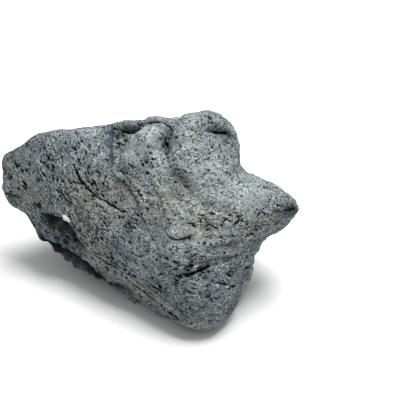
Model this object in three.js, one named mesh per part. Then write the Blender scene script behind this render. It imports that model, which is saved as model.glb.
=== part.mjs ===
// A 30 cm lump of vesicular basalt, in millimetres, +Z up, standing on z = 0 with its origin under the
// middle of its box. It is one stone, so it is one solid: a wedge that leans back from a low front foot,
// with a blunt nose at the left, a horn at the right, and two rounded flow lobes at the top with a thin
// rim of older crust behind them. It stands on a worn flat patch of its underside.
import * as THREE from "three";
import { mergeVertices } from "three/addons/utils/BufferGeometryUtils.js";
import { ImprovedNoise } from "three/addons/math/ImprovedNoise.js";

// Driving dimensions.
const HEART = new THREE.Vector3(0, 38, 76); // a point inside that every part of the skin can be seen from
const EGG = new THREE.Vector3(150, 85, 80); // half sizes of the plain egg that the stone departs from
const FACETS = 19; // each edge of the icosahedron under the skin is cut into this many plus one
const EDGE_ROUNDING = 0.09; // softness of a ridge, in radians at the heart of the egg
const WEATHERING = { height: 1.6, wave: 19 }; // unevenness of the skin
const BASALT = { color: 0x6e7474, roughness: 0.95, metalness: 0 };

// Points that the skin runs through, by the part of the stone they belong to.
const LANDMARKS = {
  nose: [
    [-151, 55, 80], [-151, 58, 90], [-145, 58, 86], [-151, 62, 103], [-147, 66, 113], [-133, 68, 119],
    [-143, 45, 66], [-149, 50, 75], [-132, 40, 61],
  ],
  lowerLeftEdge: [
    [-121, 33, 58], [-107, 22, 55], [-92, 12, 49], [-75, 0, 39], [-52, -19, 34], [-33, -37, 29], [-10, -57, 27],
    [15, -78, 22], [32, -92, 15],
  ],
  underLeftEdge: [
    [-109, 30, 38], [-95, 26, 27], [-80, 15, 20], [-62, 2, 14], [-48, -8, 10], [-33, -22, 9], [-18, -38, 10],
    [0, -54, 9], [20, -71, 8],
  ],
  leftHollow: [
    [-102, 25, 63], [-84, 15, 60], [-75, 6, 54],
  ],
  foot: [
    [45, -94, 12], [62, -89, 10], [78, -74, 11], [55, -95, 43], [55, -87, 60], [25, -87, 31], [25, -82, 53],
    [85, -62, 37],
  ],
  frontFace: [
    [55, -78, 72], [55, -65, 92], [55, -48, 107], [55, -30, 119],
    [25, -75, 71], [25, -65, 88], [25, -52, 104], [25, -35, 116], [28, -12, 124], [25, 2, 139],
    [-5, -60, 36], [-5, -58, 59], [-5, -50, 78], [-5, -40, 95], [-5, -28, 111], [-5, -12, 124], [-5, 5, 137],
    [-30, -38, 45], [-30, -35, 67], [-30, -28, 87], [-30, -17, 103], [-30, 0, 116], [-30, 15, 130],
    [-60, -12, 63], [-60, -5, 83], [-60, 8, 98], [-60, 22, 113], [-60, 38, 126],
    [-90, 22, 74], [-90, 22, 87], [-90, 27, 99], [-90, 39, 113], [-90, 55, 124],
    [-120, 34, 71], [-120, 36, 85], [-120, 43, 98], [-120, 52, 109], [-120, 62, 119],
  ],
  lowLobe: [
    [2, 44, 165], [-7, 42, 163], [-16, 38, 156], [-24, 30, 145], [-5, 29, 160], [-5, 18, 150], [-30, 34, 140],
    [-30, 44, 143], [-42, 56, 135], [-20, 64, 135], [2, 64, 139],
  ],
  lobeCrease: [
    [14, 42, 160], [12, 25, 149],
  ],
  highLobe: [
    [25, 17, 152], [24, 28, 161], [27, 41, 167], [41, 46, 173], [58, 50, 173], [74, 53, 167], [80, 50, 157],
    [60, 38, 163], [72, 32, 148], [89, 56, 131],
  ],
  saddle: [
    [65, -10, 123], [75, 12, 126], [85, 28, 124], [90, 18, 116], [89, 45, 117], [95, 42, 109], [110, 10, 109],
    [95, -8, 109], [108, 35, 106], [90, -32, 108],
  ],
  horn: [
    [123, 30, 103], [133, 25, 101], [143, 15, 96], [150, 8, 93], [120, -5, 107], [120, -18, 98],
    [130, -10, 92], [148, 5, 83], [142, 2, 74], [133, 0, 66],
  ],
  rightFlank: [
    [110, -28, 87], [90, -45, 93], [90, -50, 72], [90, -52, 55], [116, -5, 57], [103, -10, 45], [99, -5, 30],
    [101, -15, 33], [98, -27, 24], [93, -38, 21], [86, -55, 17],
  ],
  rim: [
    [-122, 70, 127], [-104, 73, 134], [-81, 76, 136], [-48, 80, 138], [-17, 84, 140], [3, 85, 144],
    [23, 84, 147],
  ],
  back: [
    [-134, 75, 111], [-121, 79, 119], [-60, 88, 126], [0, 93, 131], [60, 80, 148], [82, 66, 132], [89, 62, 108],
    [40, 92, 133], [-120, 82, 105], [-80, 93, 106], [-30, 102, 112], [20, 104, 115], [70, 92, 105],
    [101, 62, 88], [128, 38, 80], [-125, 78, 75], [-95, 92, 65], [-50, 106, 68], [0, 110, 70], [50, 104, 62],
    [90, 80, 60], [118, 43, 60], [-90, 78, 30], [-50, 92, 25], [0, 98, 22], [50, 92, 20], [88, 68, 25],
    [108, 32, 35],
  ],
  underside: [
    [-130, 62, 62], [-112, 58, 42], [-85, 52, 22], [45, -76, 0], [65, -66, -1], [20, -58, 0],
    [-10, -25, -1], [-38, 12, 0], [-60, 45, 1], [-52, 75, 1], [-10, 80, -2], [35, 76, -2],
    [70, 55, -1], [88, 20, 1], [82, -15, 0], [60, -35, -3], [25, -10, -3], [10, 35, -4], [-22, 48, -3], [45, 30, -4],
  ],
};

// Solves matrix * answer = values by elimination with row exchanges.
function solve(matrix, values) {
  const size = values.length;
  const rows = matrix.map((row, i) => [...row, values[i]]);
  for (let k = 0; k < size; k++) {
    let best = k;
    for (let i = k + 1; i < size; i++) {
      if (Math.abs(rows[i][k]) > Math.abs(rows[best][k])) best = i;
    }
    [rows[k], rows[best]] = [rows[best], rows[k]];
    for (let i = k + 1; i < size; i++) {
      const share = rows[i][k] / rows[k][k];
      for (let j = k; j <= size; j++) rows[i][j] -= share * rows[k][j];
    }
  }
  const answer = new Array(size).fill(0);
  for (let k = size - 1; k >= 0; k--) {
    let rest = rows[k][size];
    for (let j = k + 1; j < size; j++) rest -= rows[k][j] * answer[j];
    answer[k] = rest / rows[k][k];
  }
  return answer;
}

const cone = (a, b) => Math.hypot(a.distanceTo(b), EDGE_ROUNDING);

// How far the skin lies from the heart in each direction, in the space where the egg is a unit ball: a sum
// of rounded cones, one for each landmark, weighted so that it passes through all of them.
function skinReach() {
  const arms = Object.values(LANDMARKS).flat().map((p) => new THREE.Vector3(...p).sub(HEART).divide(EGG));
  const ways = arms.map((arm) => arm.clone().normalize());
  const matrix = ways.map((a) => [...ways.map((b) => cone(a, b)), 1]);
  matrix.push([...ways.map(() => 1), 0]);
  const weights = solve(matrix, [...arms.map((arm) => arm.length()), 0]);
  const base = weights[ways.length];
  return (way) => ways.reduce((sum, other, i) => sum + weights[i] * cone(way, other), base);
}

// A closed ball of even triangles, its vertices shared.
function ballGeometry() {
  const ball = new THREE.IcosahedronGeometry(1, FACETS);
  ball.deleteAttribute("normal");
  ball.deleteAttribute("uv");
  return mergeVertices(ball, 1e-5);
}

// The ball pushed out to the skin, weathered, and worn flat where it rests on z = 0.
function stoneGeometry() {
  const geometry = ballGeometry();
  const reach = skinReach();
  const noise = new ImprovedNoise();
  const place = geometry.getAttribute("position");
  for (let i = 0; i < place.count; i++) {
    const way = new THREE.Vector3().fromBufferAttribute(place, i).normalize();
    const point = way.clone().multiplyScalar(reach(way)).multiply(EGG).add(HEART);
    const wave = point.clone().divideScalar(WEATHERING.wave);
    point.addScaledVector(way, WEATHERING.height * noise.noise(wave.x, wave.y, wave.z));
    place.setXYZ(i, point.x, point.y, Math.max(point.z, 0));
  }
  return geometry;
}

function lavaRock() {
  const rock = new THREE.Mesh(stoneGeometry(), new THREE.MeshStandardMaterial(BASALT));
  rock.name = "lava_rock";
  rock.geometry.computeBoundingBox();
  const middle = rock.geometry.boundingBox.getCenter(new THREE.Vector3());
  rock.position.set(-middle.x, -middle.y, 0);
  return rock;
}

const part = new THREE.Group();
part.add(lavaRock());

export default part;
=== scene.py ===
import math
import random

import bmesh
import bpy
import numpy as np
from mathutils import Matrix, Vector
from mathutils.bvhtree import BVHTree
from mathutils.kdtree import KDTree


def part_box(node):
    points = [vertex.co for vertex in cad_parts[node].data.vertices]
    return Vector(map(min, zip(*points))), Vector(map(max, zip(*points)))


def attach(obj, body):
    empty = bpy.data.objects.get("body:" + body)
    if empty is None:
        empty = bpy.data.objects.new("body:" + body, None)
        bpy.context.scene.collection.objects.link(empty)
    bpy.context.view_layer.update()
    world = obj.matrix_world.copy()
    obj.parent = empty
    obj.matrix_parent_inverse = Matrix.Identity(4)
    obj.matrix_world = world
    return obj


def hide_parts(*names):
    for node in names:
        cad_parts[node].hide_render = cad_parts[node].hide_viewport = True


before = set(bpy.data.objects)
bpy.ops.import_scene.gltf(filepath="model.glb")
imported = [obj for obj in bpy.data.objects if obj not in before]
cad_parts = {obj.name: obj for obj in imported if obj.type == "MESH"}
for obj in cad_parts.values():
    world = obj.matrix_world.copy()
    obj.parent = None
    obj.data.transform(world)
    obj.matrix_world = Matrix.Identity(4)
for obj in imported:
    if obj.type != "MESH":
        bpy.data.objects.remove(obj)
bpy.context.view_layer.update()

MM = 0.001
stone_low, stone_high = (Vector(corner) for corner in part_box("lava_rock"))
stone_size = stone_high - stone_low

# ---------------------------------------------------------------- where the stone is looked at from
EYE_HEIGHT = math.radians(35)  # above the horizon
EYE_DISTANCE = 3.0
EYE_LENS = 270  # mm
EYE_SENSOR = 36  # mm wide
AIM_SHARE = Vector((0.670, 0.487, 0.576))  # of the stone's box, from its low corner
AIM = stone_low + stone_size * AIM_SHARE
TO_EYE = Vector((0, -math.cos(EYE_HEIGHT), math.sin(EYE_HEIGHT)))
EYE = AIM + TO_EYE * EYE_DISTANCE
UP_THE_BOARD = Vector((0, math.sin(EYE_HEIGHT), math.cos(EYE_HEIGHT)))
BOARD_FOOT = 131  # how far the foot's lowest edge lies below the aim, up the board
BACK_HEIGHT = math.radians(15)  # above the horizon, for the board behind the stone
TO_BACK = Vector((0, math.cos(BACK_HEIGHT), math.sin(BACK_HEIGHT)))

# ---------------------------------------------------------------- what is carved
# Places are (x, h): x from the stone's middle, and h up a board that leans back to face the eye, from the
# stone's foot. On the board behind the stone, h is a height above the middle of its base.
DRAWN_IN_HEIGHT = 100  # h toward which a place past the outline is drawn in until it meets the stone
DRAWN_IN_STEP = 0.01  # of the way there, each time
DRAWN_IN_STEPS = 12
TRACE_GAP = 1.0  # between the points of a path on the skin

JOIN_GAP = 0.01  # corners of the solid closer than this are one corner
SKIN_LEVELS = 3  # how many times the solid's triangles are divided
SKIN_TRIANGLES = 192_000
FRONT_FAVOUR = 0.0006  # how much the thinning heeds the next two
SEEN_THINNING = 0.2  # how readily the side toward the eye is thinned
HIDDEN_THINNING = 1.0
SWELLS = ((34, 1.5), (15, 1.0), (7.5, 0.6), (3.6, 0.34), (1.9, 0.2))  # wavelength, height
ROPES = ((11, 1.6), (5.5, 0.95), (2.8, 0.45))  # the same, drawn out along the flow
NOSE_END = 90  # how far left of the stone's middle the ropes start to rise
NOSE_REACH = 60  # how long they take to reach their full height
NOSE_ROPINESS = 0.3  # the least of their height, at the nose
LOW_TOP = 85  # the height below which the ropes stand higher
LOW_REACH = 30  # how far below that they are highest
LOW_ROUGHNESS = 0.5  # how much higher
FLOW_CENTRE = (90, 270)  # the place that the flow lines bend round
FLOW_STRETCH = 2.4  # how far grains and ropes are drawn out along the flow
FLOW_RADIUS = 220  # where that stretch is exact
SEED_SHIFT = 7.31  # lattice cells between the noises of two seeds
AXIS_PRIMES = (73856093, 19349663, 83492791)
SEED_PRIME = 2654435761
MIXING_PRIME = 1274126177

CRACKS = (  # places, half width, depth
    (((-75, 169), (-72, 158), (-65, 148), (-58, 138), (-51, 133), (-44, 131)), 1.0, 3.6),
    (((-46, 132), (-38, 126), (-33, 124), (-28, 120)), 1.1, 3.4),
    (((17, 97), (24, 92), (32, 91), (39, 93), (45, 97)), 0.8, 2.6),
    (((-108, 117), (-97, 117), (-87, 116), (-78, 111)), 1.8, 4.5),
    (((-76, 110), (-69, 101), (-66, 92), (-63, 85)), 1.0, 2.6),
    (((-37, 159), (-30, 152), (-24, 147), (-18, 141), (-14, 135), (-10, 128), (-8, 119)), 0.6, 1.4),
    (((-29, 162), (-20, 152), (-12, 143), (-6, 134), (-3, 124)), 0.45, 0.8),
    (((3, 147), (8, 139), (12, 131)), 0.4, 0.7),
    (((9, 146), (14, 138), (18, 130), (23, 122)), 0.4, 0.8),
    (((-142, 138), (-135, 136), (-128, 132)), 1.0, 3.0),
    (((57, 106), (65, 105), (70, 101)), 0.9, 2.2),
    (((49, 61), (54, 62), (58, 63), (62, 65)), 1.5, 3.6),
    (((37, 54), (42, 55), (47, 58)), 1.1, 2.6),
    (((35, 56), (39, 57), (43, 57)), 1.1, 2.4),
    (((46, 59), (51, 60), (55, 61)), 1.0, 2.4),
    (((64, 200), (70, 198), (76, 199), (80, 197)), 1.4, 3.6),
    (((20, 199), (17, 194), (16, 188), (17, 184)), 0.8, 3.0),
    (((70, 48), (76, 46), (82, 46)), 0.9, 2.6),
    (((80, 41), (84, 43), (88, 45)), 1.3, 3.0),
    (((81, 56), (86, 55)), 1.3, 2.8),
    (((96, 61), (102, 65)), 1.6, 3.0),
    (((127, 127), (136, 125)), 0.9, 2.4),
    (((140, 120), (146, 122)), 1.2, 2.8),
    (((128, 118), (134, 119)), 0.7, 1.8),
    (((97, 94), (101, 96), (106, 97)), 0.9, 2.8),
    (((20, 19), (24, 17), (31, 11)), 1.5, 3.0),
    (((11, 27), (17, 23)), 0.9, 1.8),
    (((-24, 50), (-18, 47)), 0.8, 1.6),
    (((-33, 196), (-29, 193), (-25, 193), (-21, 190)), 0.9, 3.0),
    (((-28, 201), (-25, 196), (-24, 191)), 0.9, 3.0),
    (((-34, 189), (-29, 187), (-24, 186)), 0.9, 3.0),
    (((-19, 199), (-17, 194), (-20, 188)), 0.9, 3.0),
    (((-36, 203), (-28, 204), (-21, 203), (-15, 201), (-9, 204)), 1.6, 4.0),
    (((-12, 203), (-2, 207), (7, 209), (17, 208), (24, 202)), 1.1, 4.0),
    (((-58, 78), (-40, 68), (-12, 49), (10, 31)), 0.6, 1.1),
    (((-48, 78), (-30, 68), (-6, 52), (18, 34)), 0.55, 1.0),
    (((-34, 52), (-20, 43), (-2, 31), (12, 19)), 0.6, 1.2),
    (((-24, 50), (-8, 40), (12, 24), (24, 13)), 0.6, 1.2),
    (((0, 44), (14, 34), (28, 22), (40, 12)), 0.5, 1.0),
)
CREASES = (  # wider and softer than cracks: places, half width, depth, how dark its painted shade is
    (((-84, 83), (-70, 73), (-58, 66), (-46, 59), (-34, 51), (-22, 43), (-10, 34), (4, 24)), 4.5, 2.6, 0.0),
    (((-38, 208), (-39, 196), (-41, 182), (-40, 163)), 4.6, 5.0, 0.12),
    (((24, 205), (19, 199), (16, 190), (17, 178)), 4.2, 5.0, 0.45),
    (((-34, 204), (-26, 203), (-18, 201), (-12, 201), (-7, 204)), 4.6, 8.0, 0.95),
    (((15, 184), (18, 172), (24, 160)), 7.0, 2.8, 0.0),
    (((20, 162), (30, 153), (41, 144), (52, 133)), 5.0, 3.4, 0.12),
    (((-31, 196), (-26, 193), (-20, 196)), 5.0, 3.4, 0.3),
    (((-103, 99), (-90, 88), (-65, 75), (-45, 60), (-15, 45), (12, 26), (40, 8)), 1.5, 1.0, 0.2),
    (((-60, 118), (-30, 104), (-12, 88)), 7.0, 1.6, 0.0),
    (((50, 132), (66, 124), (82, 116), (96, 108)), 3.0, 1.6, 0.1),
    (((58, 148), (74, 138), (90, 128)), 3.0, 1.2, 0.1),
)
FOLDS = (  # ropes of skin, standing proud
    (((-107, 98), (-95, 86), (-80, 73), (-66, 64), (-52, 56), (-42, 50)), 4.0, 3.2),
    (((-118, 185), (-98, 196), (-70, 201), (-40, 206), (-10, 210), (18, 214)), 6.0, 2.0),
    (((-4, 196), (2, 170), (10, 148), (20, 130), (34, 118)), 7.0, 3.0),
    (((-33, 150), (-26, 142), (-20, 133), (-16, 122)), 2.2, 1.6),
    (((-25, 158), (-15, 146), (-8, 136), (-4, 122)), 2.4, 1.6),
    (((-12, 160), (-5, 148), (1, 136), (6, 120)), 2.4, 1.2),
    (((2, 158), (9, 145), (15, 130), (20, 112)), 2.0, 1.3),
    (((55, 77), (70, 79), (86, 82)), 2.2, 1.0),
    (((64, 89), (76, 91), (90, 95)), 2.0, 0.8),
    (((54, 140), (70, 131), (86, 122)), 3.0, 1.2),
)
LEDGES = (  # left of the path stands proud of the other side: places, width, height, shade under it
    (((-34, 207), (-35, 196), (-37, 184), (-38, 168)), 5.0, 1.8, 0.12),
    (((-110, 118), (-97, 118), (-87, 117), (-77, 111), (-70, 102), (-66, 92), (-62, 83)), 12.0, 7.0, 1.15),
    (((-112, 111), (-107, 105), (-95, 90), (-76, 79), (-55, 62), (-40, 52), (-23, 42)), 14.0, 2.2, 1.3),
    (((12, 108), (17, 98), (24, 93), (32, 92), (39, 94), (45, 98)), 7.0, 1.2, 0.12),
    (((63, 93), (74, 95), (86, 95)), 4.0, 1.0, 0.25),
    (((53, 81), (65, 85), (77, 87), (92, 92)), 4.5, 1.3, 0.3),
    (((46, 68), (62, 73), (77, 74), (96, 78)), 5.0, 1.5, 0.3),
    (((30, 58), (42, 61), (58, 62)), 5.0, 2.0, 0.5),
    (((58, 203), (66, 201), (79, 200), (86, 192)), 6.0, 2.6, 0.5),
    (((-38, 160), (-30, 151), (-24, 146), (-18, 140), (-14, 134), (-10, 127), (-8, 116), (4, 104)),
     7.0, 1.5, 0.25),
    (((3, 147), (8, 138), (13, 129), (17, 119), (19, 111)), 4.0, 0.9, 0.15),
)
MOUNDS = (  # place, radius, height; dents are below zero
    ((0, 192), 13, 5.0), ((6, 202), 8, 2.4), ((32, 115), 15, 3.0), ((50, 203), 14, 1.5),
    ((70, 206), 7, 2.6), ((-30, 197), 3.2, 4.6), ((-22, 195), 3.2, 4.6), ((-27, 189), 2.8, 3.4),
    ((-33, 191), 2.6, 3.0), ((-30, 139), 13, -2.6), ((47, 193), 6, -1.6), ((55, 131), 7, 1.2),
    ((78, 136), 9, 1.0), ((-96, 108), 10, -4.5), ((-82, 101), 10, -6.0), ((-72, 92), 8, -4.0),
    ((-60, 178), 12, -1.0), ((68, 127), 14, -1.4), ((114, 116), 4.5, -1.8), ((-118, 155), 9, -1.2),
    ((-148, 160), 4.5, -7.0), ((-142, 170), 7, 1.6), ((-146, 146), 6, 2.0), ((10, 48), 8, 1.6),
    ((-8, 60), 7, 1.4), ((24, 42), 7, 1.2), ((100, 104), 7, -1.4), ((102, 68), 4, 1.0),
    ((100, 57), 3.5, -4.0), ((97, 48), 4, 3.0), ((108, 88), 4, -3.0), ((112, 96), 4, 2.5),
    ((28, 86), 8, 1.6), ((-122, 114), 8, -5.0), ((-115, 108), 6, -4.0), ((-103, 98), 8.5, 9.0),
    ((-90, 83), 5, 4.0), ((-81, 75), 5, 4.0), ((-71, 67), 6, 5.0), ((-60, 61), 5.5, 3.2),
    ((-49, 55), 4.5, 2.2), ((-38, 48), 4.5, 1.8), ((-12, 32), 3.6, 7.0),
)
BLISTERS = (  # burst bubbles, each an arc open at its foot: place, radius
    ((55, 110), 3.4), ((78, 109), 3.0), ((79, 186), 2.2), ((110, 102), 2.4), ((-51, 92), 2.0),
    ((114, 116), 3.6),
)
HOLES = (  # the larger lone gas holes: place, radius
    ((50, 88), 1.3), ((74, 163), 1.1), ((73, 147), 1.6), ((37, 159), 1.4), ((25, 171), 1.4),
    ((27, 193), 1.7), ((-12, 158), 1.0), ((-11, 176), 1.3), ((-37, 160), 1.2), ((-38, 77), 1.8),
    ((-20, 107), 2.2), ((-15, 103), 1.6), ((-28, 190), 2.4), ((-24, 190), 1.8), ((-35, 198), 1.6),
    ((56, 214), 1.6), ((-130, 165), 1.7), ((-101, 165), 1.3), ((-97, 161), 1.6), ((97, 61), 2.2),
    ((-72, 158), 2.2), ((-25, 114), 1.6), ((-19, 103), 1.5), ((-96, 155), 1.4), ((126, 119), 1.4),
    ((17, 187), 2.4), ((14, 198), 2.0), ((19, 193), 1.6), ((12, 192), 1.4), ((21, 200), 1.5),
    ((16, 181), 1.3), ((60, 213), 1.4), ((63, 208), 1.5), ((71, 212), 1.4), ((66, 204), 1.3),
    ((75, 207), 1.4), ((56, 206), 1.2), ((58, 200), 1.3), ((44, 201), 1.2), ((34, 196), 1.4),
    ((24, 178), 1.3), ((28, 182), 1.1), ((40, 176), 1.2), ((50, 168), 1.1), ((60, 172), 1.2),
    ((85, 152), 1.3), ((92, 149), 1.1), ((104, 140), 1.2), ((63, 150), 1.1), ((40, 60), 1.4),
    ((36, 61), 1.2), ((52, 56), 1.5), ((44, 53), 1.2), ((48, 50), 1.1), ((31, 55), 1.3), ((3, 53), 2.2),
    ((2, 176), 1.6), ((116, 143), 1.5), ((100, 107), 2.0), ((109, 101), 1.8), ((94, 110), 1.6),
    ((-110, 151), 1.8), ((-86, 150), 1.8), ((-63, 142), 1.4), ((62, 212), 1.8),
)
GASHES = (  # short tears: the middle of a patch, its radius, how many, tilt in degrees
    ((62, 82), 26, 13, 16), ((34, 56), 16, 12, 20), ((12, 40), 14, 8, -38), ((88, 102), 16, 8, 25),
    ((-16, 62), 18, 8, -35), ((60, 44), 18, 8, 20), ((40, 118), 20, 6, -30), ((-50, 118), 26, 8, -40),
    ((88, 62), 10, 5, 20),
)
BACK_CRACKS = (
    (((-84, 92), (-66, 80), (-50, 60), (-24, 50), (4, 34)), 1.2, 3.2),
    (((18, 128), (30, 104), (28, 88), (46, 72), (66, 66)), 1.3, 3.6),
    (((-34, 98), (-12, 90), (10, 94)), 1.0, 2.6),
    (((58, 40), (76, 31), (90, 30)), 1.2, 3.0),
    (((-100, 62), (-90, 46), (-70, 38)), 1.0, 2.6),
    (((-8, 14), (14, 6), (40, 4)), 1.0, 2.6),
)
BACK_LEDGES = (
    (((60, 64), (26, 76), (-10, 76), (-48, 86), (-100, 84)), 10.0, 2.6, 0.3),
    (((72, 96), (50, 106), (20, 108), (-4, 120)), 9.0, 2.4, 0.3),
    (((66, 12), (34, 14), (0, 24), (-34, 24), (-70, 36)), 9.0, 2.4, 0.3),
)
BACK_FOLDS = (
    (((-104, 72), (-60, 68), (-22, 62), (16, 60), (60, 50)), 4.0, 2.0),
    (((-98, 62), (-58, 56), (-20, 50), (18, 48), (66, 38)), 3.4, 1.8),
    (((-90, 50), (-52, 42), (-14, 38), (24, 34), (70, 26)), 4.2, 2.2),
    (((-10, 104), (14, 96), (40, 92), (66, 80)), 3.6, 2.0),
)
BACK_MOUNDS = (
    ((-62, 60), 18, -5.0), ((34, 72), 20, 4.0), ((72, 62), 14, -4.0), ((2, 16), 16, -4.0),
    ((-22, 104), 14, 3.0), ((48, 118), 12, -3.0), ((-96, 78), 12, 3.0), ((84, 18), 14, 3.0),
    ((-50, 20), 14, 3.0), ((0, 60), 12, -3.0),
)
TAPER = 2.2  # how steeply a path runs out at its ends
SOFT_REACH = 3  # in half widths, where a groove, fold or ledge has run out
MOUND_REACH = 2  # in radii, where a mound or a tint has run out
LEDGE_EDGE = 0.9  # half the width of a ledge's step
LEDGE_FOOT_FADE = 1.3  # how much faster the foot of a ledge fades than its lip
CRACK_TIP = 0.25  # how wide a crack is at its ends, as a share of its full width
CRACK_REACH = 5  # how far from a crack its sides are measured
FAR_FROM_CRACKS = 9.0  # in half widths
STRAY = 0.9  # how far the edges of cracks, folds and ledges wander
STRAY_WAVES = ((5, 1.0, 31), (2.2, 0.6, 34))  # wavelength, share of it, seed
HIDING = 1.6  # how soon the skin counts as hidden as it turns away from the eye

PIT_DRAWS = 3200  # about half of them are kept
PIT_RADIUS = (0.6, 1.5)
PIT_SMALLNESS = 2.2  # how much commoner the small ones are
PIT_SHARE = 0.55  # the share of draws kept on an average stretch
PIT_CROWDING = 0.6  # how far that share rises and falls
PIT_CROWD_WAVE = 26
PIT_RAGGEDNESS = 0.5
PIT_RAGGED_WAVE = 1.6
PIT_REACH = 1.5  # in radii, past the most ragged edge
PIT_DARKNESS = 1.8  # how quickly a pit darkens toward its middle
HIDDEN_PIT_GROWTH = 0.8  # how much larger the pits are on the side away from the eye
HOLE_DEPTH = 1.2  # in radii
HOLE_DARKNESS = 1.7
BLISTER_CRACK = (0.7, 1.6)  # half width, depth
BLISTER_DOME = (0.6, 0.8)  # share of the blister's radius, height
GASH_TURN = 12  # degrees, how far they usually turn from the patch's tilt
GASH_HALF_LENGTH = (1.8, 4.5)
GASH_SAG = 1.2
GASH_HALF_WIDTH = (0.4, 0.85)
GASH_DEPTH = (1.0, 2.4)

# ---------------------------------------------------------------- what is tinted, and where shade and light are painted: place, radius, strength
BROWN = (
    ((-60, 135), 26, 0.65), ((-20, 130), 26, 0.65), ((20, 125), 26, 0.6), ((55, 110), 26, 0.6),
    ((85, 108), 20, 0.5), ((-60, 100), 18, 0.6), ((-45, 72), 14, 0.6), ((60, 150), 16, 0.3),
    ((107, 112), 14, 0.5), ((125, 112), 12, 0.5), ((112, 95), 10, 0.4), ((-115, 135), 20, 0.4),
    ((15, 160), 20, 0.3), ((50, 80), 16, 0.3), ((-30, 139), 15, 0.9), ((97, 91), 12, 0.6),
    ((-18, 148), 9, 0.6), ((78, 113), 11, 0.5), ((47, 193), 5, 0.8), ((-88, 148), 12, 0.3),
    ((-61, 75), 9, 0.6), ((-34, 55), 9, 0.8), ((-14, 42), 9, 0.9), ((10, 26), 9, 0.9),
    ((-128, 142), 14, 0.4), ((-110, 138), 14, 0.4), ((-62, 165), 6, 0.6), ((-45, 112), 14, 0.3),
    ((60, 155), 14, 0.2), ((36, 143), 8, 0.7), ((30, 10), 9, 0.7), ((80, 75), 14, 0.2),
)
BLUE = (
    ((-37, 203), 6, 1.0), ((-38, 193), 6, 1.0), ((-40, 181), 6, 1.0), ((-39, 169), 6, 0.8),
    ((-33, 86), 12, 0.8), ((2, 46), 12, 0.8), ((17, 38), 10, 0.8), ((30, 28), 9, 0.7),
    ((60, 40), 18, 0.8), ((137, 122), 9, 0.8), ((70, 208), 9, 0.8), ((84, 22), 14, 0.9),
    ((120, 140), 12, 0.6), ((-10, 70), 10, 0.4), ((40, 212), 12, 0.6), ((-75, 190), 20, 0.7),
    ((-98, 176), 16, 0.5), ((-55, 186), 14, 0.6), ((86, 78), 8, 0.5), ((88, 60), 12, 0.6),
    ((-118, 168), 16, 0.4), ((88, 155), 14, 0.5), ((-5, 200), 10, 0.4), ((28, 60), 14, 0.5),
    ((70, 58), 12, 0.4),
)
# Dark patches: painted shade on the hollows, creases, ledges and the flanks that the light misses.
SHADE = (
    ((-97, 111), 9, 1.0), ((-99, 99), 7, 0.6), ((-89, 92), 7, 0.6), ((-80, 85), 6, 0.5),
    ((-85, 105), 9, 1.1), ((-75, 98), 8, 1.0), ((-68, 89), 7, 0.8), ((-147, 145), 6, 0.3),
    ((40, 144), 6, 0.35), ((30, 152), 6, 0.3), ((48, 137), 5, 0.3), ((15, 192), 5, 0.5),
    ((27, 210), 7, 0.35), ((-30, 137), 12, 0.3), ((88, 91), 10, 0.25), ((-38, 190), 6, 0.3),
    ((-27, 192), 6, 0.4), ((72, 199), 6, 0.6), ((30, 56), 12, 0.2), ((57, 65), 6, 0.6),
    ((0, 52), 14, 0.2), ((137, 121), 7, 0.6), ((144, 121), 10, 1.1), ((132, 118), 8, 0.4),
    ((35, 14), 12, 0.5), ((-26, 192), 5, 0.6), ((-20, 107), 4, 0.5), ((114, 116), 4, 0.6),
    ((-139, 130), 12, 0.5), ((-135, 180), 12, 0.8), ((-137, 152), 12, 0.25), ((108, 91), 14, 0.25),
    ((27, 136), 9, 0.7), ((-125, 152), 26, 0.22), ((-80, 150), 30, 0.14), ((-100, 180), 22, 0.12),
    ((95, 30), 9, 0.5), ((18, 108), 5, 0.4), ((-12, 29), 4, 1.0), ((10, 50), 10, 0.15),
    ((28, 44), 8, 0.2), ((93, 50), 16, 0.3), ((-5, 55), 10, 0.2),
)
UNDERSIDE_SHADE = 0.35  # on the skin that faces straight down
OVERHANG_START = 0.1  # how far down the skin has to face before the next patches shade it
OVERHANG_SPAN = 0.3  # how much further down for their full shade
OVERHANG = (  # the strip that the lower left edge overshadows
    ((-112, 108), 16, 1.25), ((-100, 98), 16, 1.35), ((-86, 84), 16, 1.35), ((-72, 74), 16, 1.35),
    ((-58, 64), 15, 1.3), ((-45, 56), 13, 1.2), ((-32, 46), 12, 1.3), ((-20, 38), 10, 1.0),
)
# Pale patches: dust, and painted light on the lobes and the saddle, the tops that face the light most.
DUST_AND_PAINTED_LIGHT = (
    ((-13, 181), 12, 2.0), ((-13, 196), 8, 1.3), ((84, 198), 9, 0.6), ((-53, 198), 9, 0.5),
    ((-73, 197), 9, 0.35), ((-58, 181), 12, 0.3), ((67, 211), 8, 0.6), ((27, 181), 8, 0.8),
    ((29, 194), 7, 0.8), ((0, 196), 14, 1.1), ((26, 208), 10, 0.5), ((25, 106), 12, 0.6),
    ((5, 106), 10, 0.4), ((-50, 120), 12, 0.4), ((-33, 106), 12, 0.8), ((-73, 121), 9, 0.4),
    ((-18, 34), 10, 0.5), ((-2, 40), 9, 0.3), ((62, 184), 16, 0.9), ((72, 166), 20, 1.2),
    ((95, 145), 24, 0.8), ((70, 140), 18, 0.6), ((30, 120), 14, 0.8), ((4, 182), 12, 0.8),
    ((38, 190), 18, 1.0), ((115, 140), 14, 0.5), ((45, 165), 16, 1.2), ((47, 151), 10, 0.9),
    ((48, 128), 10, 0.6), ((30, 88), 9, 0.7), ((47, 208), 14, 0.9), ((28, 91), 12, 1.3),
    ((47, 90), 10, 0.8), ((10, 92), 10, 0.6), ((47, 40), 12, 0.35), ((-13, 60), 14, 0.5),
    ((27, 75), 10, 0.5), ((-33, 46), 8, 0.5), ((-13, 46), 8, 0.4), ((-13, 106), 10, 0.4),
    ((8, 165), 12, 0.6), ((10, 140), 8, 0.4), ((70, 190), 12, 0.4), ((-20, 172), 8, 0.4),
    ((50, 98), 10, 0.4), ((-30, 110), 8, 0.3),
)
BACK_TINT_EDGE = 2.5  # how sharply the tints on the hidden side end
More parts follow.
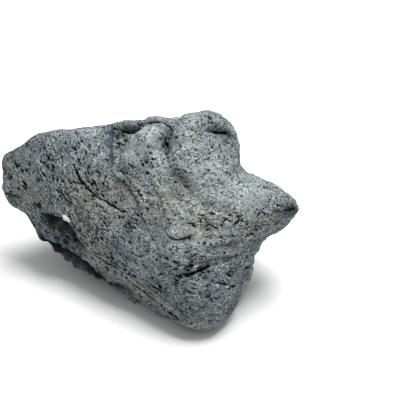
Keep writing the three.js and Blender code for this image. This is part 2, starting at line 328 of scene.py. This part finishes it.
TINTS = {  # layer: its patches, and the wavelength, seed and strength of the same on the hidden side
    "brown": (BROWN, 40, 51, 0.65),
    "blue": (BLUE, 34, 52, 0.55),
    "dust_and_painted_light": (DUST_AND_PAINTED_LIGHT, 30, 53, 0.8),
}

# ---------------------------------------------------------------- minerals, floor and light
CRYSTAL_CORNERS = 14
CHIP_ENDS = ((-86, 115), (-78, 110))
CHIP_HALF_SIZE = (6.2, 3.0, 2.0)
CHIP_RISE = 0.6
SCATTERED_GRAINS = 120
SPARKLE_SIZE = (0.7, 1.15)  # half the length of a grain, for those listed below
GRAIN_SIZE = (0.35, 0.7)  # the same for the scattered ones
GRAIN_SHAPE = (1.0, 0.8, 0.6)  # length, width and height, as shares of the length
GRAIN_FOOT = 4  # the height below which there are no scattered grains
SPARKLES = (
    (-14, 81), (-2, 71), (34, 86), (26, 82), (28, 74), (41, 147), (56, 174), (6, 174), (6, 152),
    (69, 118), (5, 174), (-35, 153), (3, 84), (27, 73), (111, 106), (150, 123), (68, 117), (66, 119),
    (-27, 65), (-101, 108),
)
FLOOR_REACH = 7.0  # metres, each way
WORLD_STRENGTH = 0.45
SOFTBOX_PLACE = Vector((0.3, 0.35, 1.5))
SOFTBOX_SIDE = 1.1
SOFTBOX_POWER = 36


def add_object(name, data):
    """A new object in the scene."""
    thing = bpy.data.objects.new(name, data)
    bpy.context.scene.collection.objects.link(thing)
    return thing


def spread(points, gap):
    """Points about a gap apart along a path, after its corners have been cut twice to smooth its course."""
    path = [Vector(p) for p in points]
    for _ in range(2):
        cut = [path[0]]
        for a, b in zip(path, path[1:]):
            cut += [a.lerp(b, 0.25), a.lerp(b, 0.75)]
        path = cut + [path[-1]]
    found = [path[0]]
    for a, b in zip(path, path[1:]):
        steps = max(1, round((b - a).length / gap))
        found += [a.lerp(b, k / steps) for k in range(1, steps + 1)]
    return found


def board_ray(x, h):
    """Where a ray from the eye through a place on the board starts, and its direction."""
    across = Vector(((x * MM) - AIM.x, 0, 0))
    spot = AIM + across + UP_THE_BOARD * (h - BOARD_FOOT) * MM
    return EYE, (spot - EYE).normalized()


def back_ray(x, h):
    """Where a ray through a place on the board behind the stone starts, and its direction."""
    return Vector((x, 0, h)) * MM + TO_BACK, -TO_BACK


def surface_tree(mesh):
    """The surface of a mesh, ready for rays to be cast at."""
    return BVHTree.FromPolygons([v.co for v in mesh.vertices], [tuple(p.vertices) for p in mesh.polygons])


def search_tree(places):
    tree = KDTree(len(places))
    for i, place in enumerate(places):
        tree.insert(place, i)
    tree.balance()
    return tree


def flow_place(places):
    """Places (n, 3) in a space bent with the flow: along it and shortened, across it, out of the board."""
    from_aim = places - np.array(AIM)
    left = FLOW_CENTRE[0] * MM - places[:, 0]
    below = (FLOW_CENTRE[1] - BOARD_FOOT) * MM - from_aim @ np.array(UP_THE_BOARD)
    along = np.arctan2(left, below) * FLOW_RADIUS * MM / FLOW_STRETCH
    return np.stack([along, np.hypot(left, below), from_aim @ np.array(TO_EYE)], axis=1)


def lattice_noise(places, wave, seed):
    """Smooth noise from -1 to 1 at every place, from random values on a cubic lattice.

    The primes and shifts scramble the numbers of a lattice point into 16 bits that look random."""
    scaled = places / (wave * MM) + seed * SEED_SHIFT
    cell = np.floor(scaled).astype(np.int64)
    part = scaled - cell
    ease = part * part * (3 - 2 * part)
    total = np.zeros(len(places))
    for corner in range(8):
        step = np.array([corner & 1, corner >> 1 & 1, corner >> 2 & 1])
        at = cell + step
        mixed = seed * SEED_PRIME
        for axis, prime in enumerate(AXIS_PRIMES):
            mixed = mixed ^ (at[:, axis] * prime)
        mixed = (mixed ^ (mixed >> 13)) * MIXING_PRIME & 0x7FFFFFFF
        value = ((mixed ^ (mixed >> 16)) & 0xFFFF) / 32767.5 - 1
        total += value * np.prod(np.where(step, ease, 1 - ease), axis=1)
    return total


class Skin:
    """The stone's fine surface as arrays, with what has been carved into it so far."""

    def __init__(self, mesh):
        count = len(mesh.vertices)
        self.place = np.empty(count * 3)
        mesh.vertices.foreach_get("co", self.place)
        self.place = self.place.reshape(-1, 3)
        self.normal = np.empty(count * 3)
        mesh.vertex_normals.foreach_get("vector", self.normal)
        self.normal = self.normal.reshape(-1, 3)
        self.tree = surface_tree(mesh)
        self.points = search_tree(self.place)
        self.flow = flow_place(self.place)
        self.flow_points = search_tree(self.flow)
        self.strayed = self.place + self.stray() * STRAY * MM
        self.ray = board_ray
        self.hidden = np.clip(-HIDING * self.normal @ np.array(TO_EYE), 0, 1)
        self.lift = np.zeros(count)
        self.cavity = np.zeros(count)
        self.shade = np.zeros(count)
        self.crack_gap = np.full(count, FAR_FROM_CRACKS)
        self.crack_side = np.full(count, FAR_FROM_CRACKS)

    def stray(self):
        """Which way, and by what share of STRAY, each point wanders."""
        total = np.zeros_like(self.place)
        for wave, share, seed in STRAY_WAVES:
            ways = [lattice_noise(self.place, wave, seed + axis) for axis in range(3)]
            total += share * np.stack(ways, axis=1)
        return total

    def on_board(self, x, h):
        """The place on the skin behind (x, h) on the board, drawn in to it from just past its edge."""
        for step in range(DRAWN_IN_STEPS):
            share = DRAWN_IN_STEP * step
            start, way = self.ray(x - x * share, h + (DRAWN_IN_HEIGHT - h) * share)
            hit, normal, _, _ = self.tree.ray_cast(start, way)
            if hit is not None:
                break
        return hit, normal

    def trace(self, places):
        """A path on the skin through places on the board, as arrays of points and normals."""
        found = [self.on_board(p.x, p.y) for p in spread([(x, h, 0) for x, h in places], TRACE_GAP)]
        return np.array([hit for hit, _ in found]), np.array([normal for _, normal in found])

    def beside(self, path, normals, reach):
        """The skin's points within reach of a path: numbers, distance to it, side and share along it."""
        low, high = path.min(0) - reach, path.max(0) + reach
        near = np.flatnonzero(((self.strayed > low) & (self.strayed < high)).all(1))
        gap = self.strayed[near, None, :] - path[None, :, :]
        distance = np.linalg.norm(gap, axis=2)
        closest = distance.argmin(1)
        rows = np.arange(len(near))
        along = np.gradient(path, axis=0)
        side = np.cross(normals, along)
        side /= np.linalg.norm(side, axis=1, keepdims=True) + 1e-12
        signed = (gap[rows, closest] * side[closest]).sum(1)
        keep = distance[rows, closest] < reach
        share = closest / max(1, len(path) - 1)
        return near[keep], distance[rows, closest][keep], signed[keep], share[keep]


def taper(share):
    """1 along most of a path, running out to 0 at both its ends."""
    return np.clip(np.sin(np.pi * np.clip(share, 0, 1)) * TAPER, 0, 1)


def carve_groove(skin, places, half_width, depth, darkens):
    path, normals = skin.trace(places)
    width = half_width * MM
    near, distance, _, share = skin.beside(path, normals, width * SOFT_REACH)
    shape = np.exp(-((distance / width) ** 2)) * taper(share)
    skin.lift[near] -= depth * MM * shape
    skin.cavity[near] = np.maximum(skin.cavity[near], shape * darkens)


def raise_fold(skin, places, half_width, height):
    path, normals = skin.trace(places)
    width = half_width * MM
    near, distance, _, share = skin.beside(path, normals, width * SOFT_REACH)
    skin.lift[near] += height * MM * np.exp(-((distance / width) ** 2)) * taper(share)


def raise_ledge(skin, places, width, height, shade):
    """A lip that stands proud on the left of the path, fades away from it, and overshadows a step."""
    path, normals = skin.trace(places)
    near, _, side, share = skin.beside(path, normals, width * SOFT_REACH * MM)
    far = np.abs(side) / (width * MM)
    step = 0.5 + 0.5 * np.tanh(side / (LEDGE_EDGE * MM))
    ends = taper(share)
    lip = step * np.exp(-(far**2))
    foot = (1 - step) * np.exp(-((far * LEDGE_FOOT_FADE) ** 2))
    skin.lift[near] += height * MM * ends * (lip - foot)
    skin.shade[near] = np.maximum(skin.shade[near], shade * ends * (1 - step) * np.exp(-(far**3)))


def raise_mound(skin, spot, radius, height):
    for _, i, distance in skin.points.find_range(spot, radius * MOUND_REACH * MM):
        skin.lift[i] += height * MM * math.exp(-((distance / (radius * MM)) ** 2))


def open_crack(skin, places, half_width, depth):
    """A sharp groove. Its sides are kept as distances, in half widths, so that its dark line stays thin."""
    path, normals = skin.trace(places)
    near, distance, side, share = skin.beside(path, normals, CRACK_REACH * MM)
    width = half_width * MM * (CRACK_TIP + (1 - CRACK_TIP) * taper(share))
    skin.lift[near] -= depth * MM * np.exp(-((distance / width) ** 2)) * taper(share)
    closer = distance / width < skin.crack_gap[near]
    skin.crack_gap[near[closer]] = (distance / width)[closer]
    skin.crack_side[near[closer]] = (side / width)[closer]


def open_hole(skin, spot, radius):
    """A gas hole: a bowl sunk below the level of the skin at its middle."""
    bowl = radius * MM
    level = skin.lift[skin.points.find(spot)[1]]
    for _, i, distance in skin.points.find_range(spot, bowl):
        inside = 1 - (distance / bowl) ** 2
        skin.lift[i] = min(skin.lift[i], level - HOLE_DEPTH * bowl * math.sqrt(inside))
        skin.cavity[i] = max(skin.cavity[i], min(1.0, inside * HOLE_DARKNESS))


def open_blister(skin, place, radius):
    """A crack bent round into an arc over a low dome."""
    turns = [math.radians(angle) for angle in range(-30, 241, 30)]
    arc = [(place[0] + radius * math.cos(turn), place[1] + radius * math.sin(turn)) for turn in turns]
    open_crack(skin, arc, *BLISTER_CRACK)
    dome_share, dome_height = BLISTER_DOME
    raise_mound(skin, skin.on_board(*place)[0], radius * dome_share, dome_height)


def carve_gashes(skin):
    dice = random.Random(17)
    for (x, h), radius, count, tilt in GASHES:
        for _ in range(count):
            middle = Vector((dice.gauss(x, radius / 2), dice.gauss(h, radius / 2)))
            turn = math.radians(dice.gauss(tilt, GASH_TURN))
            half = Vector((math.cos(turn), math.sin(turn))) * dice.uniform(*GASH_HALF_LENGTH)
            sag = Vector((0, dice.uniform(-GASH_SAG, GASH_SAG)))
            places = (tuple(middle - half), tuple(middle + sag), tuple(middle + half))
            open_crack(skin, places, dice.uniform(*GASH_HALF_WIDTH), dice.uniform(*GASH_DEPTH))


def carve_pits(skin):
    """The common gas pits, thicker on some stretches of the skin than on others."""
    dice = random.Random(7)
    crowd = lattice_noise(skin.place, PIT_CROWD_WAVE, 11)
    ragged = lattice_noise(skin.place, PIT_RAGGED_WAVE, 12)
    least, most = PIT_RADIUS
    for _ in range(PIT_DRAWS):
        i = dice.randrange(len(skin.place))
        size = dice.random() ** PIT_SMALLNESS
        if dice.random() > PIT_SHARE + PIT_CROWDING * crowd[i] - skin.shade[i]:
            continue
        bowl = (least + (most - least) * size) * MM * (1 + HIDDEN_PIT_GROWTH * skin.hidden[i])
        for _, k, distance in skin.flow_points.find_range(skin.flow[i], bowl * PIT_REACH):
            inside = 1 - (distance / bowl) ** 2 * (1 + PIT_RAGGEDNESS * ragged[k])
            if inside > 0:
                skin.lift[k] = min(skin.lift[k], skin.lift[i] - bowl * math.sqrt(inside))
                skin.cavity[k] = max(skin.cavity[k], min(1.0, inside * PIT_DARKNESS))


def carve_swells(skin):
    """Swells everywhere, and ropes drawn out along the flow, lower at the nose and higher low down."""
    for number, (wave, height) in enumerate(SWELLS):
        skin.lift += height * MM * lattice_noise(skin.place, wave, number + 1)
    from_nose = (skin.place[:, 0] + NOSE_END * MM) / (NOSE_REACH * MM)
    lowness = (LOW_TOP * MM - skin.place[:, 2]) / (LOW_REACH * MM)
    ropy = np.clip(from_nose, NOSE_ROPINESS, 1) * (1 + LOW_ROUGHNESS * np.clip(lowness, 0, 1))
    for number, (wave, height) in enumerate(ROPES):
        skin.lift += height * MM * ropy * lattice_noise(skin.flow, wave, number + 21)


def carve_shapes(skin, mounds, ledges, folds):
    """The shapes that one board's tables list."""
    for (x, h), radius, height in mounds:
        raise_mound(skin, skin.on_board(x, h)[0], radius, height)
    for ledge in ledges:
        raise_ledge(skin, *ledge)
    for fold in folds:
        raise_fold(skin, *fold)


def carve(skin):
    carve_swells(skin)
    carve_shapes(skin, MOUNDS, LEDGES, FOLDS)
    for crease in CREASES:
        carve_groove(skin, *crease)
    skin.ray = back_ray
    carve_shapes(skin, BACK_MOUNDS, BACK_LEDGES, BACK_FOLDS)
    for crack in BACK_CRACKS:
        open_crack(skin, *crack)
    skin.ray = board_ray
    carve_pits(skin)
    for place, radius in HOLES:
        open_hole(skin, skin.on_board(*place)[0], radius)
    for place, radius in BLISTERS:
        open_blister(skin, place, radius)
    for crack in CRACKS:
        open_crack(skin, *crack)
    carve_gashes(skin)


def tint(skin, patches):
    """How strongly each point of the skin takes a tint, from soft patches."""
    strength = np.zeros(len(skin.place))
    for (x, h), radius, most in patches:
        spot, _ = skin.on_board(x, h)
        for _, i, distance in skin.points.find_range(spot, radius * MOUND_REACH * MM):
            strength[i] = max(strength[i], most * math.exp(-((distance / (radius * MM)) ** 2)))
    return strength


def tint_behind(skin, wave, seed, most):
    """The same for the side away from the eye, from noise."""
    return most * skin.hidden * np.clip(BACK_TINT_EDGE * lattice_noise(skin.place, wave, seed), 0, 1)


def skin_layers(skin):
    """What the basalt's shader reads at each point of the skin, by name."""
    layers = {
        "cavity": np.clip(skin.cavity, 0, 1),
        "crack_gap": skin.crack_gap,
        "crack_side": skin.crack_side,
    }
    for name, (patches, wave, seed, most) in TINTS.items():
        layers[name] = tint(skin, patches) + tint_behind(skin, wave, seed, most)
    underside = np.clip(-skin.normal[:, 2], 0, 1)
    overhang = tint(skin, OVERHANG) * np.clip((underside - OVERHANG_START) / OVERHANG_SPAN, 0, 1)
    shades = [tint(skin, SHADE), overhang, UNDERSIDE_SHADE * underside, skin.shade]
    layers["shade"] = np.maximum.reduce(shades)
    return layers


def with_modifier(mesh, name, kind, groups=(), **settings):
    """The mesh after one modifier, as a new mesh. groups are (point numbers, weight) for a vertex group."""
    holder = add_object(name, mesh)
    modifier = holder.modifiers.new(kind, kind)
    if groups:
        vertex_group = holder.vertex_groups.new(name=name)
        modifier.vertex_group = vertex_group.name
        for numbers, weight in groups:
            vertex_group.add(numbers.tolist(), weight, "REPLACE")
    for key, value in settings.items():
        setattr(modifier, key, value)
    result = bpy.data.meshes.new_from_object(holder.evaluated_get(bpy.context.evaluated_depsgraph_get()))
    bpy.data.objects.remove(holder)
    return result


def joined_solid(node):
    """The solid's mesh with its split corners joined."""
    mesh = bpy.data.meshes.new("joined")
    work = bmesh.new()
    work.from_mesh(node.data)
    bmesh.ops.remove_doubles(work, verts=work.verts, dist=JOIN_GAP * MM)
    work.to_mesh(mesh)
    work.free()
    return mesh


def thinned(mesh, skin):
    """The carved mesh with fewer triangles, most of them spared on the side toward the eye."""
    facing = skin.normal @ np.array(TO_EYE)
    groups = (
        (np.flatnonzero(facing > 0), SEEN_THINNING),
        (np.flatnonzero(facing <= 0), HIDDEN_THINNING),
    )
    ratio = SKIN_TRIANGLES / (2 * len(mesh.polygons))  # the divided mesh is all quads
    return with_modifier(mesh, "thinned", "DECIMATE", groups, ratio=ratio, vertex_group_factor=FRONT_FAVOUR)


def build_skin(material):
    """The stone's carved skin, no lower than the floor."""
    solid = joined_solid(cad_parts["lava_rock"])
    fine = with_modifier(solid, "divided", "SUBSURF", levels=SKIN_LEVELS, render_levels=SKIN_LEVELS)
    skin = Skin(fine)
    carve(skin)
    moved = skin.place + skin.normal * skin.lift[:, None]
    moved[:, 2] = np.maximum(moved[:, 2], 0)
    fine.vertices.foreach_set("co", moved.ravel())
    for name, values in skin_layers(skin).items():
        layer = fine.attributes.new(name, "FLOAT", "POINT")
        layer.data.foreach_set("value", values.astype(np.float32))
    lean = thinned(fine, skin)
    lean.name = "lava_rock_skin"
    lean.materials.clear()
    lean.materials.append(material)
    lean.shade_smooth()
    rock = add_object("lava_rock_skin", lean)
    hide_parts("lava_rock")
    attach(rock, "root")
    return rock


# ---------------------------------------------------------------- materials
def srgb(red, green, blue):
    """A linear colour from 0 to 255 display values."""
    parts = [v / 255 for v in (red, green, blue)]
    linear = [v / 12.92 if v <= 0.04045 else ((v + 0.055) / 1.055) ** 2.4 for v in parts]
    return (*linear, 1)


class Nodes:
    """A material's node tree, built by name. Waves and distances are millimetres."""

    def __init__(self, name):
        self.material = bpy.data.materials.new(name)
        self.material.use_nodes = True
        self.tree = self.material.node_tree
        self.shader = self.tree.nodes["Principled BSDF"]
        coordinates = self.tree.nodes.new("ShaderNodeTexCoord")
        self.object = coordinates.outputs["Object"]

    def link(self, value, socket):
        """Feeds a socket from another node's output or a plain value, or leaves it as it is."""
        if isinstance(value, bpy.types.NodeSocket):
            self.tree.links.new(value, socket)
        elif value is not None:
            socket.default_value = value

    def texture(self, kind, wave, vector):
        node = self.tree.nodes.new(kind)
        self.link(vector or self.object, node.inputs["Vector"])
        node.inputs["Scale"].default_value = 1 / (wave * MM)
        return node

    def noise(self, wave, detail=2.0, roughness=0.5, distortion=0.0, vector=None, output="Fac"):
        node = self.texture("ShaderNodeTexNoise", wave, vector)
        node.inputs["Detail"].default_value = detail
        node.inputs["Roughness"].default_value = roughness
        node.inputs["Distortion"].default_value = distortion
        return node.outputs[output]

    def cells(self, wave, vector=None, output="Distance"):
        return self.texture("ShaderNodeTexVoronoi", wave, vector).outputs[output]

    def vector(self, operation, first, second):
        node = self.tree.nodes.new("ShaderNodeVectorMath")
        node.operation = operation
        self.link(first, node.inputs[0])
        self.link(second, node.inputs[1])
        return node.outputs["Value" if operation == "DOT_PRODUCT" else "Vector"]

    def combine(self, x, y, z):
        node = self.tree.nodes.new("ShaderNodeCombineXYZ")
        for value, socket in zip((x, y, z), node.inputs):
            self.link(value, socket)
        return node.outputs["Vector"]

    def ramp(self, value, low, high, out_low=0.0, out_high=1.0):
        node = self.tree.nodes.new("ShaderNodeMapRange")
        node.interpolation_type = "SMOOTHSTEP"
        self.link(value, node.inputs["Value"])
        ends = {"From Min": low, "From Max": high, "To Min": out_low, "To Max": out_high}
        for key, number in ends.items():
            self.link(number, node.inputs[key])
        return node.outputs["Result"]

    def math(self, operation, first, second=None):
        node = self.tree.nodes.new("ShaderNodeMath")
        node.operation = operation
        self.link(first, node.inputs[0])
        self.link(second, node.inputs[1])
        return node.outputs[0]

    def times(self, first, second):
        return self.math("MULTIPLY", first, second)

    def mix(self, share, first, second):
        node = self.tree.nodes.new("ShaderNodeMix")
        node.data_type = "RGBA"
        self.link(share, node.inputs["Factor"])
        self.link(first, node.inputs["A"])
        self.link(second, node.inputs["B"])
        return node.outputs["Result"]

    def attribute(self, name):
        node = self.tree.nodes.new("ShaderNodeAttribute")
        node.attribute_name = name
        return node.outputs["Fac"]

    def bump(self, height, distance, strength=1.0, normal=None):
        node = self.tree.nodes.new("ShaderNodeBump")
        self.link(height, node.inputs["Height"])
        node.inputs["Distance"].default_value = distance * MM
        node.inputs["Strength"].default_value = strength
        self.link(normal, node.inputs["Normal"])
        return node.outputs["Normal"]


def flow_vector(nodes):
    """The same bent space as flow_place, for the grain of the stone."""
    from_aim = nodes.vector("SUBTRACT", nodes.object, tuple(AIM))
    across = nodes.vector("DOT_PRODUCT", from_aim, (1, 0, 0))
    left = nodes.math("SUBTRACT", FLOW_CENTRE[0] * MM - AIM.x, across)
    risen = nodes.vector("DOT_PRODUCT", from_aim, tuple(UP_THE_BOARD))
    below = nodes.math("SUBTRACT", (FLOW_CENTRE[1] - BOARD_FOOT) * MM, risen)
    along = nodes.times(nodes.math("ARCTAN2", left, below), FLOW_RADIUS * MM / FLOW_STRETCH)
    squares = nodes.math("ADD", nodes.math("POWER", left, 2.0), nodes.math("POWER", below, 2.0))
    out = nodes.vector("DOT_PRODUCT", from_aim, tuple(TO_EYE))
    return nodes.combine(along, nodes.math("SQRT", squares), out)


def groundmass(nodes, flow, mottle):
    """Grey stone, mottled, scuffed and stained, with the tints that the skin carries: brown, bluish, and
    pale dust with painted light.
    """
    broad = nodes.noise(38, detail=3, roughness=0.55)
    stain = nodes.noise(11, detail=3, roughness=0.6)
    scuffs = nodes.noise(4, detail=3, roughness=0.65, vector=flow)
    colour = nodes.mix(nodes.ramp(broad, 0.35, 0.65), srgb(117, 132, 137), srgb(143, 156, 158))
    washes = (  # pattern, where the wash starts and is full, how strong, its colour
        (stain, 0.48, 0.64, 0.65, srgb(124, 128, 117)),
        (stain, 0.44, 0.30, 0.8, srgb(84, 102, 122)),
        (mottle, 0.38, 0.62, 0.7, srgb(86, 97, 106)),
        (scuffs, 0.47, 0.34, 0.6, srgb(50, 58, 65)),
        (scuffs, 0.54, 0.68, 0.55, srgb(166, 174, 172)),
    )
    for pattern, none, full, most, tone in washes:
        colour = nodes.mix(nodes.ramp(pattern, none, full, 0, most), colour, tone)
    tints = (  # layer, the pattern that breaks it up, where that starts and is full, least, most, colour
        ("blue", stain, 0.60, 0.40, 0.3, 1.2, srgb(76, 91, 109)),
        ("dust_and_painted_light", scuffs, 0.40, 0.56, 0.5, 1.1, srgb(179, 190, 190)),
        ("brown", mottle, 0.35, 0.62, 0.3, 1.3, srgb(134, 131, 114)),
    )
    for name, pattern, none, full, least, most, tone in tints:
        broken = nodes.ramp(pattern, none, full, least, most)
        colour = nodes.mix(nodes.times(nodes.attribute(name), broken), colour, tone)
    return colour


def speckled(nodes, flow, colour):
    """A colour with pale and dark grains and crystals, livelier on some stretches than on others."""
    grain = nodes.noise(1.7, detail=1, distortion=1.2, vector=flow)
    crystals = nodes.cells(0.95, output="Color")
    liveliness = nodes.ramp(nodes.noise(10, detail=2, vector=flow), 0.40, 0.60, 0.45, 1.15)
    calm = nodes.times(nodes.attribute("blue"), -0.15)
    liveliness = nodes.math("ADD", liveliness, calm)
    speckles = (  # pattern, where the speckle starts and is full, how strong, its colour
        (grain, 0.50, 0.66, 0.55, srgb(203, 210, 210)),
        (grain, 0.43, 0.37, 1.0, srgb(34, 44, 49)),
        (crystals, 0.60, 0.9, 0.45, srgb(222, 227, 224)),
        (crystals, 0.38, 0.18, 0.5, srgb(26, 30, 34)),
    )
    for pattern, none, full, most, tone in speckles:
        share = nodes.times(nodes.ramp(pattern, none, full, 0, most), liveliness)
        colour = nodes.mix(share, colour, tone)
    return colour


def fine_pits(nodes, flow):
    """The gas pits too small to carve, from 0 to 1: larger ones along the flow, and small round ones."""
    wobble = nodes.vector("SUBTRACT", nodes.noise(1.8, output="Color"), [0.5] * 3)
    wobble = nodes.vector("MULTIPLY", wobble, [2.0 * MM] * 3)
    size = nodes.ramp(nodes.noise(7, detail=1), 0.36, 0.64, 0.15, 0.29)
    size = nodes.math("ADD", size, nodes.times(nodes.attribute("blue"), 0.07))
    along_flow = nodes.cells(3.2, vector=nodes.vector("ADD", flow, wobble))
    larger = nodes.ramp(along_flow, size, nodes.times(size, 0.8))
    anywhere = nodes.cells(2.6, vector=nodes.vector("ADD", nodes.object, wobble))
    smaller = nodes.ramp(anywhere, 0.27, 0.19)
    return nodes.math("MAXIMUM", larger, nodes.times(smaller, 0.85))


def crack_floors(nodes):
    """Where the crack floors take painted shade: 1 on the floor of each crack, 0 past its sides and its
    ends.
    """
    across = nodes.ramp(nodes.math("ABSOLUTE", nodes.attribute("crack_side")), 1.1, 0.6)
    return nodes.times(across, nodes.ramp(nodes.attribute("crack_gap"), 2.6, 1.7))


def basalt():
    """Grey groundmass with dark and pale grains, tiny gas pits, brown weathering, bluish patches, pale dust
    with painted light, and painted shade.
    """
    nodes = Nodes("vesicular_basalt")
    flow = flow_vector(nodes)
    mottle = nodes.noise(8, detail=3, roughness=0.6, vector=flow)
    colour = speckled(nodes, flow, groundmass(nodes, flow, mottle))
    shade = nodes.attribute("shade")
    sheltered = nodes.ramp(shade, 0.2, 0.9, 1.0, 0.35)
    # Painted shade, with the pores' own darker insides: the fine pits, the carved pits, holes and creases,
    # and the crack floors are painted near black.
    pits = nodes.times(fine_pits(nodes, flow), sheltered)
    cavity = nodes.times(nodes.attribute("cavity"), sheltered)
    flecks = nodes.ramp(nodes.cells(4.6), 0.13, 0.07)
    marks = (  # how much of the mark is at each point, how strong, its colour
        (pits, 0.95, srgb(14, 17, 20)),
        (flecks, 0.7, srgb(226, 226, 218)),
        (shade, 0.78, srgb(15, 17, 19)),
        (cavity, 0.9, srgb(12, 14, 16)),
        (crack_floors(nodes), 1.0, srgb(10, 12, 14)),
    )
    for mark, strength, tone in marks:
        colour = nodes.mix(nodes.times(mark, strength), colour, tone)
    nodes.link(colour, nodes.shader.inputs["Base Color"])
    nodes.link(nodes.ramp(mottle, 0.3, 0.7, 0.82, 0.97), nodes.shader.inputs["Roughness"])
    nodes.shader.inputs["Specular IOR Level"].default_value = 0.1
    rough = nodes.bump(nodes.noise(1.4, detail=3, roughness=0.8, vector=flow), 1.8)
    sunk = nodes.bump(nodes.math("SUBTRACT", 1.0, pits), 1.2, normal=rough)
    nodes.link(sunk, nodes.shader.inputs["Normal"])
    return nodes.material


def pale_mineral():
    """Creamy feldspar with faint darker cloudiness."""
    nodes = Nodes("pale_mineral")
    cloud = nodes.noise(2.2, detail=2)
    colour = nodes.mix(nodes.ramp(cloud, 0.35, 0.65), srgb(236, 232, 216), srgb(204, 196, 176))
    nodes.link(colour, nodes.shader.inputs["Base Color"])
    nodes.link(nodes.ramp(cloud, 0.3, 0.7, 0.35, 0.55), nodes.shader.inputs["Roughness"])
    nodes.link(nodes.bump(cloud, 0.2, 0.5), nodes.shader.inputs["Normal"])
    return nodes.material


# ---------------------------------------------------------------- minerals in the skin
def random_vector(dice):
    return Vector((dice.uniform(-1, 1), dice.uniform(-1, 1), dice.uniform(-1, 1)))


def add_crystal(work, centre, along, out, half_size, dice):
    """One faceted grain: the hull of random points on an egg of that half size, lying on the skin."""
    across = out.cross(along).normalized()
    length, width, height = half_size
    corners = []
    for _ in range(CRYSTAL_CORNERS):
        spot = random_vector(dice).normalized()
        place = centre + along * spot.x * length + across * spot.y * width + out * spot.z * height
        corners.append(work.verts.new(place))
    bmesh.ops.convex_hull(work, input=corners)


def add_mineral(name, work, material):
    mesh = bpy.data.meshes.new(name)
    bmesh.ops.recalc_face_normals(work, faces=work.faces)
    work.to_mesh(mesh)
    work.free()
    mesh.materials.append(material)
    piece = add_object(name, mesh)
    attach(piece, "root")


def build_chip(rock_tree, material):
    """The large pale chip in the upper edge of the hollow at the lower left."""
    (start, start_out), (end, end_out) = (rock_tree.ray_cast(*board_ray(x, h))[:2] for x, h in CHIP_ENDS)
    out = (start_out + end_out).normalized()
    along = (end - start).normalized()
    along = (along - out * along.dot(out)).normalized()
    centre = (start + end) / 2 + out * CHIP_RISE * MM
    work = bmesh.new()
    add_crystal(work, centre, along, out, [half * MM for half in CHIP_HALF_SIZE], random.Random(3))
    add_mineral("pale_chip", work, material)


def build_grains(rock_tree, mesh, material):
    """Bright specks: some where they catch the eye, the rest scattered over the whole stone."""
    dice = random.Random(21)
    spots = [rock_tree.ray_cast(*board_ray(x, h))[:2] for x, h in SPARKLES]
    for _ in range(SCATTERED_GRAINS):
        vertex = mesh.vertices[dice.randrange(len(mesh.vertices))]
        if vertex.co.z > GRAIN_FOOT * MM:
            spots.append((vertex.co.copy(), vertex.normal.copy()))
    work = bmesh.new()
    for number, (spot, out) in enumerate(spots):
        size = dice.uniform(*(SPARKLE_SIZE if number < len(SPARKLES) else GRAIN_SIZE))
        along = out.cross(random_vector(dice)).normalized()
        add_crystal(work, spot, along, out, [size * share * MM for share in GRAIN_SHAPE], dice)
    add_mineral("mineral_grains", work, material)


# ---------------------------------------------------------------- floor, light and camera
def build_floor():
    mesh = bpy.data.meshes.new("floor")
    corners = [(x * FLOOR_REACH, y * FLOOR_REACH, 0) for x, y in ((-1, -1), (1, -1), (1, 1), (-1, 1))]
    mesh.from_pydata(corners, [], [(0, 1, 2, 3)])
    nodes = Nodes("floor_white")
    nodes.shader.inputs["Base Color"].default_value = (0.9, 0.9, 0.9, 1)
    nodes.shader.inputs["Roughness"].default_value = 0.9
    mesh.materials.append(nodes.material)
    floor = add_object("floor", mesh)


def build_light():
    """Even white light from all round, and one softbox high behind the stone at the right."""
    world = bpy.data.worlds.new("studio")
    world.use_nodes = True
    background = world.node_tree.nodes["Background"]
    background.inputs["Color"].default_value = (1, 1, 1, 1)
    background.inputs["Strength"].default_value = WORLD_STRENGTH
    bpy.context.scene.world = world
    lamp = bpy.data.lights.new("top_softbox", "AREA")
    lamp.shape = "SQUARE"
    lamp.size = SOFTBOX_SIDE
    lamp.energy = SOFTBOX_POWER
    softbox = add_object("top_softbox", lamp)
    softbox.location = SOFTBOX_PLACE
    softbox.rotation_euler = (AIM - SOFTBOX_PLACE).to_track_quat("-Z", "Y").to_euler()
    bpy.context.scene.view_settings.view_transform = "Standard"


def build_camera():
    lens = bpy.data.cameras.new("camera")
    lens.lens = EYE_LENS
    lens.sensor_width = EYE_SENSOR
    camera = add_object("camera", lens)
    camera.location = EYE
    camera.rotation_euler = (-TO_EYE).to_track_quat("-Z", "Y").to_euler()
    bpy.context.scene.camera = camera


build_camera()
build_floor()
build_light()
rock_mesh = build_skin(basalt()).data
rock_tree = surface_tree(rock_mesh)
minerals = pale_mineral()
build_chip(rock_tree, minerals)
build_grains(rock_tree, rock_mesh, minerals)
